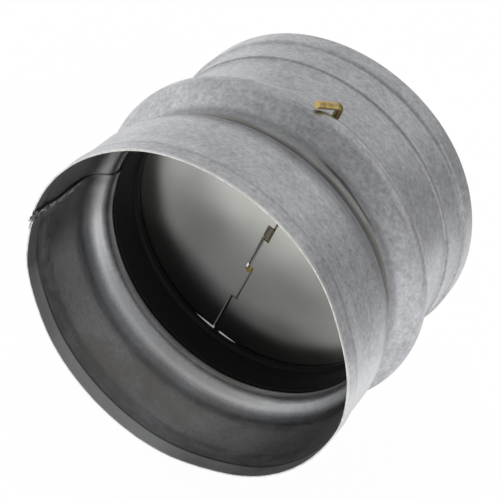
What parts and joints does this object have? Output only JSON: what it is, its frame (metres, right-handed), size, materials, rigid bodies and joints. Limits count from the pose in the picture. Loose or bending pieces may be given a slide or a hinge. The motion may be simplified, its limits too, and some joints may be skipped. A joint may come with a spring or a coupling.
{
  "type": "backdraft damper",
  "caption": "Butterfly backdraft damper for a round duct: beaded sheet casing with a rubber seal and sprung half-disc flaps on a cross rod.",
  "frame": {"origin": "centre of the inlet rim, on the duct axis, which is where the inlet spigot's mount is", "axes": "+Y along the duct axis in the direction of flow, from the inlet to the outlet; +Z along the hinge rod, towards the bent end that the picture shows; +X to the side of the right flap"},
  "size_m": [0.1302, 0.096, 0.1374],
  "materials": {
    "galvanised_sheet": "zinc-coated sheet, dull grey with fine spangle and drawing lines",
    "seal_rubber": "matt black",
    "rod_brass": "dull drawn",
    "flap_aluminium": "satin sheet",
    "spring_steel": "bright drawn wire"
  },
  "bodies": {
    "casing": {"casing": "galvanised_sheet", "seal_ring": "seal_rubber", "pivot_rod": "rod_brass", "closing_spring": "spring_steel"},
    "left_flap": {"left_flap": "flap_aluminium"},
    "right_flap": {"right_flap": "flap_aluminium"}
  },
  "joints": [
    {"name": "left_flap_hinge", "type": "hinge", "parent": "casing", "child": "left_flap", "pos_m": [0, 0.0595, 0], "axis": [0, 0, -1], "range_deg": [0, 85], "stiffness_Nm_per_rad": 0.006, "springref_deg": -25.78, "deforming": ["closing_spring"]},
    {"name": "right_flap_hinge", "type": "hinge", "parent": "casing", "child": "right_flap", "pos_m": [0, 0.0595, 0], "axis": [0, 0, 1], "range_deg": [0, 85], "stiffness_Nm_per_rad": 0.006, "springref_deg": -25.78, "deforming": ["closing_spring"]}
  ]
}
